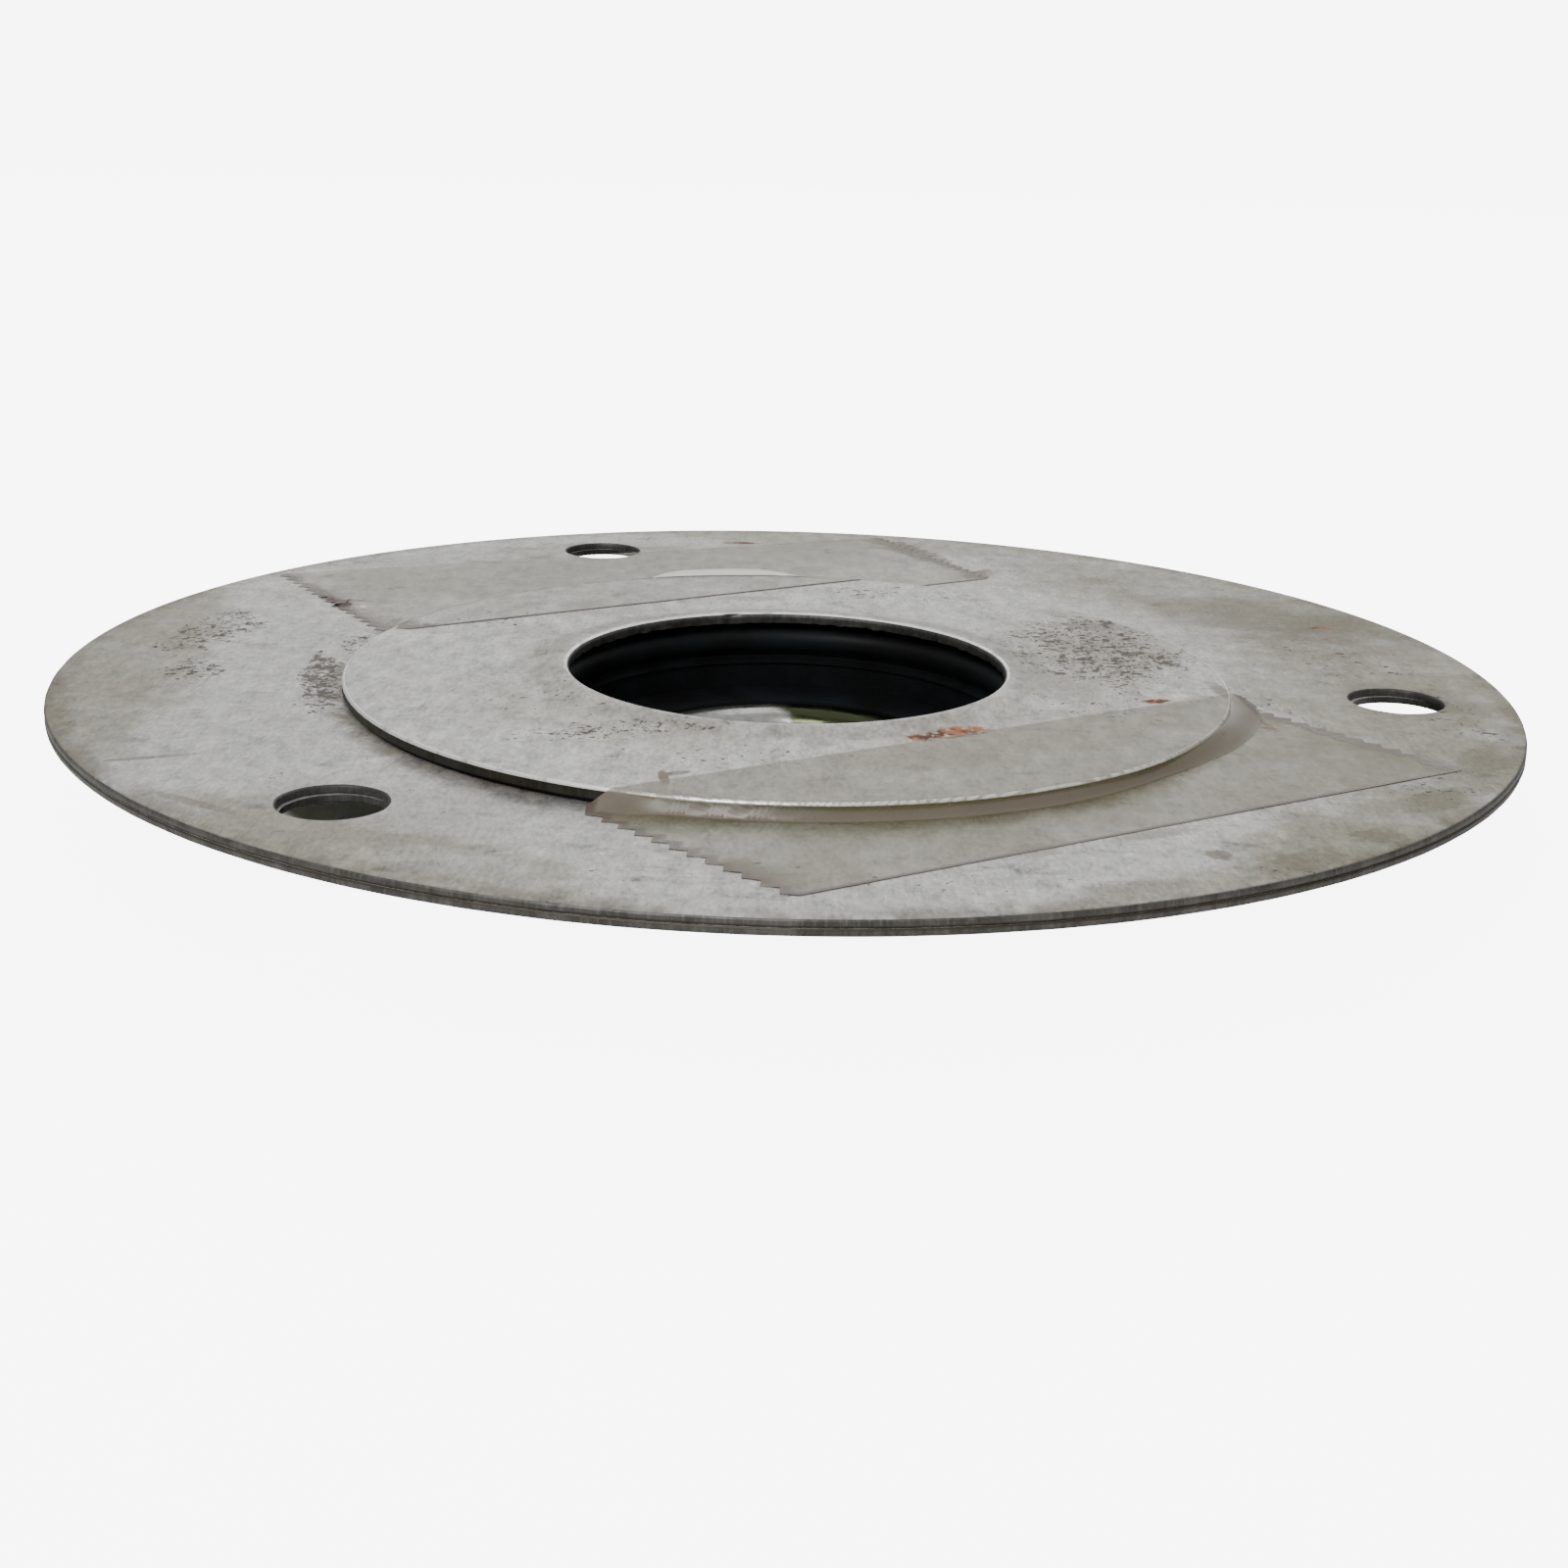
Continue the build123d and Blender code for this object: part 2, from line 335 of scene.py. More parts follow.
def sheet_steel(name, tone, pits, stains, rust=(), tarnish_and_painted_light=(), grime_and_shade=None):
    """Dull sheet steel: cloudy, scratched and pitted, with stains and rust where given.

    pits, stains, rust and tarnish are lists of Paint.patch arguments, where tarnish may also hold a painted
    shadow, and the optional mask function of paint gives dirt and painted shade, laid on in the stain
    colour.
    """
    paint = Paint(name)
    clouds = paint.noise(13, 3.0, 0.5, 0.6)
    blotches = paint.noise(75, 4.0, 0.6, 0.3)
    mottle = paint.streaks((330, 150, 300), 0, 5.0, 0.68)
    fine = paint.streaks((1500, 520, 1500), 0, 3.0, 0.65)
    rolled = paint.streaks((110, 1300, 110), 4, 3.0, 0.6)
    smudges = paint.ramp(paint.streaks((110, 190, 110), 9, 4.0, 0.65), 0.56, 0.74)
    scratch = scratch_mask(paint, clouds)

    bright = paint.plus(scratch, 0.25, 1.10)
    bright = paint.plus(smudges, -0.42, bright)
    shares = ((clouds, 0.35), (blotches, 1.0), (mottle, 1.7), (fine, 1.3), (rolled, 0.25))
    for texture, share in shares:
        bright = paint.plus(paint.math("SUBTRACT", texture, 0.5), share, bright)
    # dim follows the tarnish patches; on the flange one of them is a painted shadow.
    dim = paint.times(paint.patches(tarnish_and_painted_light), paint.ramp(blotches, 0.3, 0.55, 0.55, 1.0))
    bright = paint.times(bright, paint.plus(dim, -0.52, 1.0))
    shade = paint.mix(1.0, paint.mix(dim, grey(tone, 0.8), grey(tone, 4.2)), bright, "MULTIPLY")

    dots = pit_mask(paint, pits)
    stained_and_shaded = paint.times(paint.patches(stains), paint.ramp(mottle, 0.35, 0.6, 0.3, 1.0))
    # The grime mask adds painted shade as well as dirt, darkened in the stain colour.
    if grime_and_shade:
        stained_and_shaded = paint.most(stained_and_shaded, grime_and_shade(paint))
    rusty = paint.times(paint.patches(rust), paint.ramp(paint.noise(700, 4.0), 0.36, 0.47))
    rust_tone = paint.mix(paint.ramp(paint.noise(500, 2.0), 0.4, 0.62), ORANGE_RUST, DARK_RUST)
    shade = paint.mix(paint.times(stained_and_shaded, 0.72), shade, STAIN_AND_SHADE)
    shade = paint.mix(paint.times(dots, 0.85), shade, PIT)
    shade = paint.mix(rusty, shade, rust_tone)

    dull = paint.most(paint.times(stained_and_shaded, 0.55), paint.times(dots, 0.7), rusty)
    normal = paint.bump(blotches, 0.10 * MM, 0.5)
    normal = paint.bump(paint.plus(dots, -1.6, fine), 0.03 * MM, 0.7, normal)
    normal = paint.bump(paint.times(scratch, -1.0), 0.02 * MM, 0.6, normal)
    paint.set(Base_Color=shade, Metallic=paint.ramp(dull, 0.0, 1.0, 0.80, 0.1), Normal=normal,
              Roughness=paint.ramp(paint.math("ADD", dull, blotches), 0.2, 1.3, 0.34, 0.78))
    return paint.material


def seam_dirt_and_shade(paint, broken, seam):
    """Dirt in the seam between the two plates, widened as painted shade, and painted shade along the lower
    one's foot.
    """
    away = paint.math("ABSOLUTE", paint.math("SUBTRACT", paint.along("Z"), seam), 0.0)
    line = paint.times(paint.ramp(away, 0.48 * MM, 0.14 * MM), paint.ramp(broken, 0.2, 0.5, 0.45, 0.85))
    foot = paint.ramp(paint.along("Z"), lower_low.z + 0.25 * MM, lower_low.z, 0.0, 0.35)
    return paint.most(line, foot)


def sheared_steel(name, tone, warmth, seam=None):
    """The torn wall that a punch leaves: vertical streaks, dirt and painted shade at the height seam if
    given, and a tone that is partly painted shade.
    """
    paint = Paint(name)
    streaks = paint.streaks((1500, 1500, 260), 0, 3.0, 0.65)
    broken = paint.noise(240, 3.0, 0.6)
    light, dark = grey(tone * 1.25, warmth), grey(tone * 0.7, warmth * 1.6)
    tint = paint.mix(paint.ramp(broken, 0.35, 0.65), light, dark)
    tint = paint.mix(paint.ramp(streaks, 0.42, 0.72, 0.0, 0.42), tint, grey(tone * 2.0, warmth * 0.6))
    # The seam mask is a dark joint with painted shade, and painted shade at the lower plate's foot.
    if seam is not None:
        tint = paint.mix(seam_dirt_and_shade(paint, broken, seam), tint, SEAM_DIRT_AND_SHADE)
    paint.set(Base_Color=tint, Metallic=0.7, Roughness=0.5, Normal=paint.bump(streaks, 0.03 * MM, 0.5))
    return paint.material


def burr_steel(name, tone):
    """A bright edge, partly rubbed and partly a painted highlight, dulled here and there."""
    paint = Paint(name)
    worn = paint.noise(300, 4.0, 0.6)
    tint = paint.mix(paint.ramp(worn, 0.52, 0.72), grey(tone, 0.6), grey(tone * 0.5))
    paint.set(Base_Color=tint, Metallic=0.75, Roughness=paint.ramp(worn, 0.4, 0.7, 0.3, 0.5),
              Normal=paint.bump(paint.noise(1600, 2.0), 0.02 * MM, 0.5))
    return paint.material


def moulded_rubber(name, tone):
    """Matt black rubber with a faint blue bloom, moulding grain and specks of lint."""
    paint = Paint(name)
    bloom = paint.noise(90, 4.0, 0.6)
    grit = paint.noise(2600, 2.0, 0.5)
    lint = paint.specks(230, 0.10, 0.16, paint.stretched((1, 1, 0.4)))
    plain, bloomed = (tone, tone, tone, 1), (tone * 1.4, tone * 2.0, tone * 2.4, 1)
    tint = paint.mix(paint.ramp(bloom, 0.35, 0.7), plain, bloomed)
    tint = paint.mix(paint.times(lint, 0.85), tint, LINT)
    paint.set(Base_Color=tint, Specular_IOR_Level=0.12, Normal=paint.bump(grit, 0.04 * MM, 0.5),
              Roughness=paint.ramp(bloom, 0.3, 0.7, 0.42, 0.58))
    return paint.material


def bright_steel(name, tone, roughness, tarnish_and_painted_light=()):
    """Pressed bright steel with water marks and hairline scratches, dark olive in the given patches as a
    painted reflection.
    """
    paint = Paint(name)
    marks = paint.noise(220, 4.0, 0.6)
    hair = paint.streaks((60, 2600, 200), 20, 2.0, 0.5)
    tint = paint.mix(paint.ramp(marks, 0.42, 0.66), grey(tone, 0.6), grey(tone * 0.55, 2.0))
    tint = paint.mix(paint.patches(tarnish_and_painted_light), tint, OLIVE_PAINTED_REFLECTION)
    paint.set(Base_Color=tint, Metallic=0.95, Normal=paint.bump(hair, 0.02 * MM, 0.4),
              Roughness=paint.ramp(marks, 0.35, 0.7, roughness, roughness + 0.2))
    return paint.material


def film_dirt(paint, near_line, clumps, coarse):
    """Dirt on the toothed ends, as a line along the near and far edges, and in the given clumps.

    The UV map "near" holds millimetres from the left end and the near edge, and "far" holds them
    from the right end and the far edge.
    """
    from_left, from_near = paint.uv("near")
    from_right, from_far = paint.uv("far")
    broken = paint.noise(420, 4.0, 0.6)
    end = paint.math("MINIMUM", from_left, from_right)
    teeth = paint.times(paint.ramp(end, 2.5, 0.9), paint.ramp(broken, 0.38, 0.52, 0.4, 1.0))
    smear = paint.times(paint.ramp(end, 7.0, 0.5), paint.ramp(coarse, 0.42, 0.62, 0.0, 0.5))
    line = paint.times(paint.ramp(from_near, 0.95, 0.55), near_line)
    line = paint.times(line, paint.ramp(broken, 0.25, 0.5, 0.7, 1.0))
    back = paint.times(paint.ramp(from_far, 0.5, 0.2), 0.20)
    clump = paint.times(paint.patches(clumps), paint.ramp(broken, 0.40, 0.52))
    return paint.most(teeth, smear, line, back, clump)


def film_span(paint):
    """1 where the film hangs free between the cover ring's edge and the flange."""
    away = paint.ring_distance(0, seal_y)
    outside = paint.ramp(away, cover_radius + 0.05 * MM, cover_radius + 0.4 * MM)
    close = paint.ramp(away, cover_radius + 22 * MM, cover_radius + 19 * MM)
    lifted = paint.ramp(paint.along("Z"), flange_top + 0.15 * MM, flange_top + 0.45 * MM)
    return paint.times(paint.times(outside, close), lifted)


def tape_film(name, clear_tint, thinnest, span_colour_and_reflection, span_alpha, near_line, clumps):
    """Clear film, slightly yellow and dirty at its edges, and milky where it hangs free, where a near-white
    span colour is a painted reflection.

    thinnest is the opacity of its clearest places, span_alpha that of the free parts, near_line that
    of the dirt along its near edge, and clumps are Paint.patch arguments of thicker dirt.
    """
    paint = Paint(name)
    coarse = paint.noise(60, 3.0, 0.6)
    dirt = film_dirt(paint, near_line, clumps, coarse)
    span = film_span(paint)
    tint = paint.mix(dirt, paint.mix(span, clear_tint, span_colour_and_reflection), TAPE_DIRT)
    sheen = paint.add("ShaderNodeFresnel", {"IOR": 1.45}).outputs[0]
    clear = paint.plus(sheen, 0.3, paint.ramp(coarse, 0.3, 0.7, thinnest, thinnest + 0.12))
    solid = paint.most(dirt, paint.times(span, span_alpha))
    alpha = paint.plus(paint.math("SUBTRACT", 1.0, clear), solid, clear)
    inner_face = paint.add("ShaderNodeNewGeometry").outputs["Backfacing"]
    alpha = paint.times(alpha, paint.math("SUBTRACT", 1.0, inner_face))
    paint.set(Base_Color=tint, Alpha=alpha, Roughness=paint.ramp(coarse, 0.3, 0.7, 0.26, 0.38),
              Normal=paint.bump(paint.noise(140, 2.0, 0.5), 0.12 * MM, 0.5))
    return paint.material


# ---- marks on the steel: x, y, half width, half depth, turn, ragged, soft, full of Paint.patch ----------
FLANGE_PITS = [
    (-107, 14, 8, 20, -8, 0.7, 0.9, 1.05), (-103, -14, 6, 9, 0, 0.7, 0.9),
    (-80, -18, 4, 22, 10, 0.6, 0.8, 1.3), (-79, 8, 3, 10, 0, 0.6, 0.8),
    (100, 18, 14, 24, 20, 0.7, 1.3, 0.6), (70, -103, 10, 5, 30, 0.7, 1.0, 0.6),
    (100, -62, 7, 14, -40, 0.7, 1.0, 0.6), (10, 102, 26, 7, 0, 0.8, 1.3, 0.5),
    (112, -20, 8, 22, 10, 0.7, 1.2, 0.7), (84, -22, 5, 14, 20, 0.7, 1.0, 0.7),
    (-70, -70, 26, 14, -30, 0.8, 1.4, 0.3), (10, -112, 44, 8, 0, 0.8, 1.3, 0.4),
    (-60, 66, 18, 12, 30, 0.8, 1.4, 0.3),
]
FLANGE_STAINS = [
    (96, 46, 26, 17, -40, 0.9, 1.1, 0.72), (-12, 111, 3.5, 1.6, 0, 0.6, 0.5, 1.1),
    (104, 41, 4, 3, 0, 0.6, 0.5, 0.7), (108, -15, 12, 11, 0, 0.8, 1.1, 0.65),
    (-60, -90, 22, 13, -10, 0.8, 0.9, 0.32), (-84, -87, 9, 1.2, -32, 0.6, 0.6, 0.7),
    (70, -101, 9, 4, 30, 0.9, 0.7, 0.7), (84, -88, 4, 3, 0, 0.9, 0.7, 0.7),
    (113, -48, 5, 12, -30, 0.9, 0.9, 0.6), (41, 84, 3, 5, -30, 0.7, 0.6, 1.1),
    (28, 105, 3.4, 16, 28, 0.9, 0.8, 1.2), (-96, -66, 7, 0.8, 22, 0.5, 0.5, 0.9),
    (47, -112, 8, 2.4, 15, 0.8, 0.8, 0.55), (98, -70, 4, 7, -40, 0.9, 0.8, 0.6), (60, -98, 2, 2),
    (-75.5, 22, 1.4, 7, -8, 0.6, 0.6, 0.9), (78.5, -22, 1.2, 8, 6, 0.6, 0.6, 0.9),
    (35, -98, 4, 3, 20, 0.8, 0.8, 0.5), (52, -90, 7, 1.6, 25, 0.8, 0.8, 0.6),
    (-30, 102, 5, 2, 0, 0.8, 0.8, 0.5), (66, 80, 5, 3, -30, 0.8, 0.8, 0.5),
]
FLANGE_TARNISH_AND_SHADOW = [
    (-124, -20, 22, 90, 4, 0.4, 0.4, 0.80), (118, -10, 34, 105, 0, 0.6, 0.8, 0.95),
    (90, -82, 38, 13, 45, 0.7, 0.9, 0.95), (84, 66, 42, 22, -45, 0.7, 0.9, 0.75),
    # The patch at -40, 78 darkens the flange just behind the cover ring's rear edge: a painted shadow, not
    # tarnish.
    (-40, 78, 72, 22, 28, 0.5, 0.7, 0.38), (-60, -104, 36, 10, -28, 0.6, 0.8, 0.7),
    (60, -112, 30, 8, 26, 0.6, 0.8, 0.6), (20, 114, 64, 8, -10, 0.6, 0.9, 0.6),
    (-50, 98, 18, 7, 20, 0.6, 0.8, 0.5),
]
FLANGE_RUST = [
    (105, 41, 2.4, 1.2, 0, 0.7, 0.5, 0.7), (-10, 111, 3, 1.0, 0, 0.7, 0.5, 0.8),
    (79, -30, 1.3, 5, 20, 0.7, 0.5, 0.9),
]
COVER_PITS = [
    (56, 5, 17, 26, -8, 0.7, 0.9, 1.12), (57, 27, 9, 8, 0, 0.7, 0.9),
    (-38, -32, 20, 16, 0, 0.8, 1.3, 0.5), (-6, -66, 26, 8, 0, 0.8, 1.3, 0.6),
    (18, 48, 20, 7, -15, 0.8, 1.3, 0.7), (-52, 18, 10, 12, 0, 0.8, 1.3, 0.5),
    (50, -34, 16, 14, 0, 0.8, 1.3, 0.6), (-26, -54, 18, 5, 15, 0.8, 1.1, 0.95),
]
COVER_STAINS = [
    (58, 26, 6, 4, 0, 0.8, 0.8, 0.7), (-17.5, -78, 0.8, 3.5, 8, 0.4, 0.5, 1.2),
    (-16, -75.8, 2.4, 0.9, 30, 0.4, 0.5, 1.2), (44, -18, 7, 12, 40, 0.8, 1.2, 0.35),
    (-40, 30, 4, 6, 0, 0.8, 0.9, 0.45), (-73, 14, 1.2, 6, -8, 0.6, 0.6, 0.8),
    (74, -20, 1.4, 6, 10, 0.6, 0.6, 0.9), (-32, 27, 6, 2.4, 30, 0.8, 0.8, 0.4),
    (62, 8, 10, 18, 0, 0.8, 1.3, 0.3), (5, -58, 2.6, 2, 0, 0.8, 0.8, 0.6),
    (20, -70, 2, 1.6, 0, 0.8, 0.8, 0.6), (-8, 42, 7, 1.6, 5, 0.7, 0.8, 0.5),
    (-40, -2, 2, 8, 0, 0.8, 0.9, 0.5),
]
COVER_TARNISH = [
    (54, 6, 16, 34, -10, 0.7, 0.9, 0.35), (-30, -48, 26, 10, -30, 0.8, 1.0, 0.3),
    (38, -48, 28, 12, 30, 0.7, 0.9, 0.3), (-42, -14, 5, 26, 10, 0.7, 0.9, 0.25),
]
COVER_RUST = [(27, -50.5, 6.0, 2.4, 28, 0.4, 0.5), (21, -54, 2.0, 1.6), (62, -28, 2.4, 1.4, 20, 0.5, 0.5)]


def flange_grime_and_shadow(paint):
    """Dirt and a painted shadow on the flange round the foot of the cover ring, thickest on the left, and
    dirt along the rim.
    """
    away = paint.ring_distance(0, seal_y)
    # band darkens the flange just outside the cover ring's foot: real dirt, and a painted contact shadow.
    band = paint.ramp(away, cover_radius + 5 * MM, cover_radius + 0.6 * MM)
    side = paint.ramp(paint.along("X"), -5 * MM, -60 * MM, 0.12, 1.0)
    broken = paint.ramp(paint.noise(260, 4.0, 0.65), 0.38, 0.62)
    foot = paint.times(paint.times(band, broken), side)
    rim = paint.ramp(paint.ring_distance(0, 0), flange_radius - 6 * MM, flange_radius - 0.5 * MM, 0.0, 0.65)
    worn = paint.ramp(paint.noise(90, 4.0, 0.6), 0.40, 0.62, 0.15, 1.0)
    return paint.most(foot, paint.times(rim, worn))


def cover_grime_and_shade(paint):
    """Dirt along the cover ring's outer edge, and dirt with painted shade round the foot of its turned-up
    rim.
    """
    away = paint.ring_distance(0, seal_y)
    outer = paint.ramp(away, cover_radius - 1.5 * MM, cover_radius, 0.0, 0.3)
    # inside darkens the slope up to the crest: painted shade of the rising rim, with some dirt.
    inside = paint.ramp(away, rim_start + 0.5 * MM, rim_start - 4 * MM)
    crest = paint.ramp(away, opening_radius + 1.2 * MM, opening_radius + 2.2 * MM)
    broken = paint.ramp(paint.noise(150, 4.0, 0.6), 0.34, 0.66, 0.10, 0.50)
    return paint.times(paint.most(outer, paint.times(inside, crest)), broken)


flange_steel = sheet_steel("flange_steel", tone=0.41, pits=FLANGE_PITS, stains=FLANGE_STAINS,
                           rust=FLANGE_RUST, tarnish_and_painted_light=FLANGE_TARNISH_AND_SHADOW, grime_and_shade=flange_grime_and_shadow)
under_steel = sheet_steel("under_steel", tone=0.38, pits=FLANGE_PITS[::2], stains=FLANGE_STAINS[3:6],
                          rust=FLANGE_RUST[:1], tarnish_and_painted_light=FLANGE_TARNISH_AND_SHADOW[::2])
cover_steel = sheet_steel("cover_steel", tone=0.43, pits=COVER_PITS, stains=COVER_STAINS,
                          rust=COVER_RUST, tarnish_and_painted_light=COVER_TARNISH, grime_and_shade=cover_grime_and_shade)
washer_steel = sheet_steel("washer_steel", tone=0.40, pits=[(0, -60, 30, 8)], stains=[(30, 30, 20, 12)])
# The sheared walls' low tones are partly painted shade: the flange rim, darker in the bolt holes and
# opening, and darkest, with some dirt, on the cover ring's outer wall.
rim_steel = sheared_steel("rim_steel", tone=0.085, warmth=1.5, seam=seam_height)
hole_steel = sheared_steel("hole_steel", tone=0.055, warmth=0.8)
wall_steel = sheared_steel("wall_steel", tone=0.032, warmth=4.0)
# The crest's high tone is partly a painted highlight along the rolled edges.
crest_steel = burr_steel("crest_steel", tone=0.90)
# The rubber's very low tone is partly painted shade inside the opening.
rubber = moulded_rubber("rubber", tone=0.004)
# The bottom ring's olive patch is a painted dark reflection on its right-hand side.
ring_steel = bright_steel("ring_steel", tone=0.50, roughness=0.14, tarnish_and_painted_light=[(14, 13, 16, 12, 0, 0.4, 0.35)])
band_steel = bright_steel("band_steel", tone=0.46, roughness=0.28)
front_film = tape_film("front_film", clear_tint=(0.20, 0.175, 0.088, 1), thinnest=0.30,
                       span_colour_and_reflection=(0.17, 0.143, 0.104, 1), span_alpha=0.78, near_line=0.95,
                       clumps=[(79, -24, 2.0, 6, 39, 0.6, 0.5), (103, -52, 2, 3, 39),
                               (90, -37, 1.4, 8, 39, 0.8, 0.5)])
# The rear strip's near-white, nearly opaque span colour is a painted reflection where the film slopes away
# behind the cover ring.
rear_film = tape_film("rear_film", clear_tint=(0.30, 0.285, 0.215, 1), thinnest=0.13,
                      span_colour_and_reflection=(0.90, 0.87, 0.79, 1), span_alpha=0.88, near_line=1.0,
                      clumps=[(-73.5, 16, 3.2, 9, 32, 0.6, 0.5), (-68, 10.5, 4, 1.8, 32),
                              (-93, 46, 2.4, 16, 32, 0.8, 0.6)])


# ---- flange plates --------------------------------------------------------------------------------
def bolt_places():
    angles = [first_bolt + 2 * pi * k / bolt_count for k in range(bolt_count)]
    return [(bolt_circle * cos(angle), bolt_circle * sin(angle)) for angle in angles]


def plate_wave(angle, radius, height):
    """The upper plate rises gently here and there, and neither rim is quite round."""
    x, y = radius * cos(angle), radius * sin(angle)
    lift = 0.0
    if height > seam_height:
        uneven = 1 + grain(x, y, size=55 * MM, seed=3.0)
        lift = 0.025 * MM * uneven * min(1, (radius - plate_opening) / (20 * MM))
    push = 0.0
    if radius > flange_radius - 0.3 * MM:
        push = -0.05 * MM * (1 + grain(x, y, height * 4, size=4 * MM, seed=8.0))
    return push, lift


def hole_outline(low, high, rolled_top):
    """Section of a bolt hole's cutter, from the axis out and back, with one rolled mouth."""
    roll, lip, sink = 0.35 * MM, 0.12 * MM, 0.02 * MM
    over = 2 * MM
    if rolled_top:
        return [(0, low - over), (bolt_radius, low - over), (bolt_radius, high - roll),
                (bolt_radius + lip, high - lip), (bolt_radius + roll, high + sink),
                (bolt_radius + roll, high + over), (0, high + over)]
    return [(0, low - over), (bolt_radius + roll, low - over), (bolt_radius + roll, low - sink),
            (bolt_radius + lip, low + lip), (bolt_radius, low + roll),
            (bolt_radius, high + over), (0, high + over)]


def hole_cutter(x, y, outline, number, seed):
    """A solid of the given outline about the vertical axis at x, y, slightly out of round."""
    steps = 72
    bm = bmesh.new()
    rings = []
    for radius, height in outline:
        if radius == 0:
            rings.append([bm.verts.new((x, y, height))] * steps)
            continue
        ring = []
        for s in range(steps):
            angle = 2 * pi * s / steps
            worn = radius + 0.09 * MM * grain(5 * cos(angle), 5 * sin(angle), number, size=2.0, seed=seed)
            ring.append(bm.verts.new((x + worn * cos(angle), y + worn * sin(angle), height)))
        rings.append(ring)
    for lower, upper in zip(rings, rings[1:]):
        for s in range(steps):
            corners = [lower[s], lower[s - steps + 1], upper[s - steps + 1], upper[s]]
            bm.faces.new([corner for i, corner in enumerate(corners) if corner not in corners[:i]])
    bmesh.ops.recalc_face_normals(bm, faces=bm.faces)
    mesh = bpy.data.meshes.new("cutter")
    bm.to_mesh(mesh)
    bm.free()
    mesh.materials.append(hole_steel)
    cutter = bpy.data.objects.new("cutter", mesh)
    bpy.context.scene.collection.objects.link(cutter)
    return cutter


def cut_bolt_holes(plate, low, high, rolled_top, shift):
    """Punches the bolt holes, moved by shift, with a rolled mouth at the top or at the foot."""
    outline = hole_outline(low, high, rolled_top)
    for number, (x, y) in enumerate(bolt_places()):
        cutter = hole_cutter(x + shift[0], y + shift[1], outline, number, low)
        cut = plate.modifiers.new("hole", "BOOLEAN")
        cut.object = cutter
        cut.solver = "EXACT"
        cut.material_mode = "TRANSFER"
        apply_modifiers(plate)
        bpy.data.objects.remove(cutter)
    plate.data.shade_smooth()
    plate.data.set_sharp_from_angle(angle=radians(28))


def flange_plate(name, node, body, low, high, top_roll, foot_roll, face_steel, shift):
    """One plate, its rim rolled by top_roll and foot_roll and its bolt holes moved by shift."""
    inner_roll = 0.15 * MM
    corners = [(plate_opening, low), (flange_radius, low), (flange_radius, high), (plate_opening, high)]
    outline = rounded(corners, [inner_roll, foot_roll, top_roll, inner_roll], 5)
    dense = []
    for here, there in zip(outline, outline[1:] + outline[:1]):
        steps = max(1, round((there - here).length / (3.5 * MM)))
        dense += between(here, there, steps)

    def pick(radius, height, normal):
        return 1 if abs(normal.x) > 0.5 else 0

    plate = lathe(name, dense, 0.0, [face_steel, rim_steel], pick, plate_wave)
    cut_bolt_holes(plate, low, high, top_roll > foot_roll, shift)
    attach(plate, body)
    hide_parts(node)


flange_plate("upper_plate_skin", "upper_flange_plate", "flange", upper_low.z, upper_high.z,
             top_roll=0.60 * MM, foot_roll=0.25 * MM, face_steel=flange_steel, shift=(0, 0))
flange_plate("lower_plate_skin", "lower_flange_plate", "lower_plate", lower_low.z, lower_high.z,
             top_roll=0.38 * MM, foot_roll=0.40 * MM, face_steel=under_steel, shift=(0.5 * MM, -0.6 * MM))


# ---- cover ring -------------------------------------------------------------------------------------
nick_angle = radians(106.5)


def cover_outline():
    """Section of the cover ring: its rim swells up to a round crest, then a torn wall drops."""
    low = cover_low.z
    inset = 0.08 * MM
    bend = 0.5 * MM
    steps = 12
    roll = crest_radius - opening_radius
    drop = 0.8 * MM
    top = cover_top + rim_rise
    foot = low + rim_rise

    def rise(radius):
        return rim_rise * smooth((rim_start - radius) / (rim_start - crest_radius))

    points = [Vector((cover_radius - inset, low)), Vector((cover_radius, low + 0.15 * MM))]
    points += between((cover_radius, low + 0.4 * MM), (cover_radius, cover_top - bend), 4)
    points += [Vector((cover_radius - bend * (1 - cos(turn)), cover_top - bend * (1 - sin(turn))))
               for turn in (0, 0.25, 0.5, 0.75, 1.0, 1.25, pi / 2)]
    points += between((cover_radius - 2 * MM, cover_top), (rim_start, cover_top), steps)
    radii = [rim_start + (crest_radius - rim_start) * k / steps for k in range(steps + 1)]
    points += [Vector((radius, cover_top + rise(radius))) for radius in radii]
    points += [Vector((crest_radius - roll * sin(turn), top - drop * (1 - cos(turn))))
               for turn in (0.25, 0.5, 0.8, 1.1, 1.35, pi / 2)]
    points += between((opening_radius, top - drop - 0.15 * MM), (opening_radius, foot + 0.15 * MM), 5)
    points += [Vector((opening_radius + 0.02 * MM, foot))]
    points += [Vector((radius, low + rise(radius))) for radius in radii[::-1]]
    points += between((rim_start + 1 * MM, low), (cover_radius - inset, low), 6)
    return points


